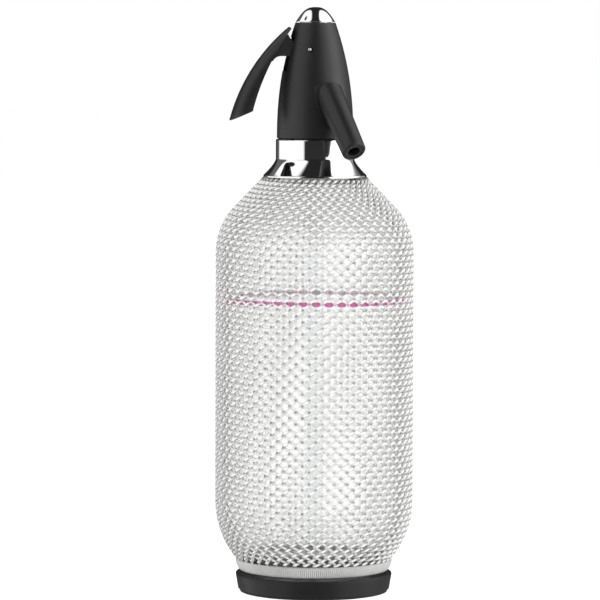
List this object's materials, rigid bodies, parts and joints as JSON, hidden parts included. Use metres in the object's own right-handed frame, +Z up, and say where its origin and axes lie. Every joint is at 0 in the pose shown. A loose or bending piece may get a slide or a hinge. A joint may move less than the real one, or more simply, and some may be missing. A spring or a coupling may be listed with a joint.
{
  "type": "soda siphon",
  "caption": "Soda siphon with a glass bottle in a wire mesh jacket, chrome collar, moulded head, sprung lever valve, slanting nozzle and a capped gas inlet.",
  "frame": {"origin": "centre of the rubber pad under the foot, on the table", "axes": "+Z up along the bottle's axis; -X towards the lever; the nozzle points to +X and -Y, 16 degrees from -Y; +Y towards the gas inlet"},
  "size_m": [0.1096, 0.1096, 0.3213],
  "materials": {
    "clear_glass": "clear polished glass",
    "pink_print": "printed line",
    "mesh_steel": "bright tinned steel wire",
    "black_foot": "smooth black moulding",
    "foot_rubber": "matt rubber",
    "chrome": "mirror chrome",
    "seal_rubber": "matt rubber",
    "charcoal_plastic": "fine satin texture",
    "dark_plastic": "smooth",
    "spring_steel": "turned and drawn",
    "valve_brass": "turned",
    "clear_plastic": "clear tube",
    "white_plastic": "moulded"
  },
  "bodies": {
    "bottle": {"glass_bottle": "clear_glass", "fill_line": "pink_print", "mesh_inner_wires": "mesh_steel", "mesh_outer_wires": "mesh_steel", "mesh_top_ring": "mesh_steel", "mesh_hem_band": "mesh_steel", "foot_cup": "black_foot", "foot_pad": "foot_rubber", "neck_collar": "chrome", "neck_seal": "seal_rubber"},
    "gasket": {"head_gasket": "seal_rubber"},
    "head": {"head_shell": "charcoal_plastic", "dome_cap": "chrome", "dome_seal": "seal_rubber", "valve_spring": "spring_steel", "valve_body": "valve_brass", "dip_tube": "clear_plastic", "dip_tube_nut": "white_plastic", "nozzle": "charcoal_plastic", "jet_insert": "dark_plastic", "lever_pin": "chrome", "inlet_nipple": "spring_steel", "piercing_pin": "spring_steel", "inlet_seal": "seal_rubber"},
    "lever": {"lever": "charcoal_plastic"},
    "spindle": {"valve_spindle": "spring_steel", "valve_seal": "seal_rubber", "spindle_o_ring": "seal_rubber"},
    "washer": {"cap_washer": "seal_rubber"},
    "inlet_cap": {"protective_cap": "charcoal_plastic"}
  },
  "joints": [
    {"name": "head_twist", "type": "hinge", "parent": "bottle", "child": "gasket", "pos_m": [0, 0, 0.2605], "axis": [0, 0, 1], "range_deg": [0, 360]},
    {"name": "head_lift", "type": "slide", "parent": "gasket", "child": "head", "axis": [0, 0, 1], "range_m": [0, 0.26]},
    {"name": "lever_pivot", "type": "hinge", "parent": "head", "child": "lever", "pos_m": [-0.0054, 0, 0.2981], "axis": [0, -1, 0], "range_deg": [0, 18], "stiffness_Nm_per_rad": 1.2, "springref_deg": -8.59},
    {"name": "spindle_lift", "type": "slide", "parent": "head", "child": "spindle", "axis": [0, 0, 1], "range_m": [0, 0.0019], "deforming": ["valve_spring"]},
    {"name": "cap_twist", "type": "hinge", "parent": "head", "child": "washer", "pos_m": [0, 0.0342, 0.2703], "axis": [0, 1, 0], "range_deg": [0, 360]},
    {"name": "cap_pull", "type": "slide", "parent": "washer", "child": "inlet_cap", "axis": [0, 1, 0], "range_m": [0, 0.04]}
  ],
  "couplings": [
    {"joint": "lever_pivot", "follows": "spindle_lift", "rad_per_m": 160}
  ]
}
